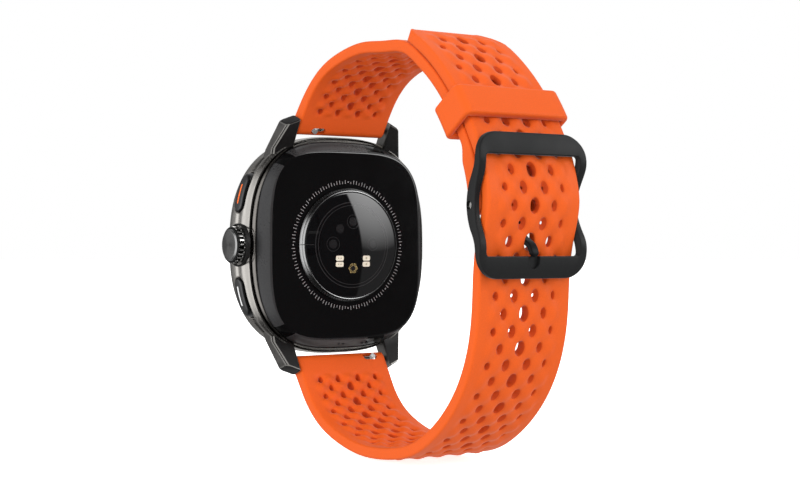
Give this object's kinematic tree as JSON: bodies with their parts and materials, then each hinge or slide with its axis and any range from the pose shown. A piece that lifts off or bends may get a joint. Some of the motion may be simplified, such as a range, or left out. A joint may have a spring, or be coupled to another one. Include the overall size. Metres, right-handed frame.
{
  "type": "gps running watch",
  "caption": "Cushion-case running watch with a rear heart-rate sensor, crown, side buttons and a buckled perforated silicone strap.",
  "frame": {"origin": "middle of the opening that the wrist fills, 30 mm behind the rear cover's flat face, on the case's centre lines", "axes": "+Z towards 12 o'clock, +X out through the crown and along the wrist, +Y from the case towards the buckle, the display facing -Y"},
  "size_m": [0.0485, 0.0765, 0.0817],
  "materials": {
    "case_metal": "gunmetal, satin polished",
    "gloss_black": "black, high gloss",
    "glass_black": "dark tinted glass, polished",
    "polished_steel": "polished",
    "buckle_metal": "matte black coating",
    "strap_silicone": "soft-touch orange silicone",
    "inlay_orange": "orange, satin",
    "inlay_white": "white, satin",
    "black_plastic": "black, moulded",
    "seal_rubber": "black, matte",
    "circuit_board": "green solder mask",
    "battery_foil": "foil pouch",
    "copper": "enamelled copper wire",
    "gold": "gold plated",
    "emitter_cream": "cream moulded emitter",
    "ceramic": "fired ceramic"
  },
  "bodies": {
    "case": {"midframe": "case_metal", "front_bezel": "case_metal", "front_crystal": "glass_black", "display_panel": "black_plastic", "bezel_gasket": "seal_rubber", "inner_chassis": "black_plastic", "battery": "battery_foil", "main_board": "circuit_board", "gps_antenna": "ceramic", "speaker": "black_plastic", "vibration_motor": "polished_steel", "charging_coil": "copper", "rear_gasket": "seal_rubber", "rear_bezel": "gloss_black", "rear_cover": "gloss_black", "sensor_ring": "polished_steel", "sensor_dome": "glass_black", "sensor_board": "circuit_board", "light_barrier": "black_plastic", "led_left": "emitter_cream", "led_right": "emitter_cream", "photodiode_left": "glass_black", "photodiode_right": "glass_black", "photodiode_top": "glass_black", "skin_temperature_sensor": "gold", "board_screw_1": "polished_steel", "board_screw_2": "polished_steel", "board_screw_3": "polished_steel", "board_screw_4": "polished_steel", "crown_tube": "polished_steel", "crown_switch": "black_plastic", "crown_seal": "seal_rubber", "upper_button_switch": "black_plastic", "upper_button_seal": "seal_rubber", "lower_button_switch": "black_plastic", "lower_button_seal": "seal_rubber", "upper_spring_bar": "polished_steel", "lower_spring_bar": "polished_steel", "upper_strap": "strap_silicone", "lower_strap": "strap_silicone", "buckle_bar": "buckle_metal"},
    "crown_plunger": {"crown_stem": "polished_steel", "crown_retainer": "polished_steel"},
    "crown_knob": {"crown_knob": "case_metal", "crown_cap": "polished_steel"},
    "upper_button": {"upper_button_cap": "case_metal", "upper_button_inlay": "inlay_orange"},
    "lower_button": {"lower_button_cap": "case_metal", "lower_button_inlay": "inlay_white"},
    "upper_release": {"upper_release_pin": "polished_steel"},
    "lower_release": {"lower_release_pin": "polished_steel"},
    "buckle_frame": {"buckle_frame": "buckle_metal"},
    "buckle_tongue": {"buckle_tongue": "buckle_metal"},
    "keeper_loop": {"keeper_loop": "strap_silicone"}
  },
  "joints": [
    {"name": "crown_press", "type": "slide", "parent": "case", "child": "crown_plunger", "axis": [-1, 0, 0], "range_m": [0, 0.0005], "stiffness_N_per_m": 1500},
    {"name": "crown_turn", "type": "hinge", "parent": "crown_plunger", "child": "crown_knob", "pos_m": [0.0232, -0.0364, 0], "axis": [1, 0, 0], "continuous": true},
    {"name": "upper_button_press", "type": "slide", "parent": "case", "child": "upper_button", "axis": [-1, 0, 0], "range_m": [0, 0.0005], "stiffness_N_per_m": 1500},
    {"name": "lower_button_press", "type": "slide", "parent": "case", "child": "lower_button", "axis": [-1, 0, 0], "range_m": [0, 0.0005], "stiffness_N_per_m": 1500},
    {"name": "upper_release_slide", "type": "slide", "parent": "case", "child": "upper_release", "axis": [-1, 0, 0], "range_m": [0, 0.0016], "stiffness_N_per_m": 600},
    {"name": "lower_release_slide", "type": "slide", "parent": "case", "child": "lower_release", "axis": [1, 0, 0], "range_m": [0, 0.0016], "stiffness_N_per_m": 600},
    {"name": "buckle_pivot", "type": "hinge", "parent": "case", "child": "buckle_frame", "pos_m": [0, 0.0289, 0.007], "axis": [1, 0, 0], "range_deg": [-1.2, 1.2]},
    {"name": "tongue_pivot", "type": "hinge", "parent": "case", "child": "buckle_tongue", "pos_m": [0, 0.0289, 0.007], "axis": [1, 0, 0], "range_deg": [0, 1.4]},
    {"name": "keeper_slide", "type": "hinge", "parent": "case", "child": "keeper_loop", "pos_m": [0, -0.01515, -0.00375], "axis": [1, 0, 0], "range_deg": [-1.8, 11.2]}
  ]
}
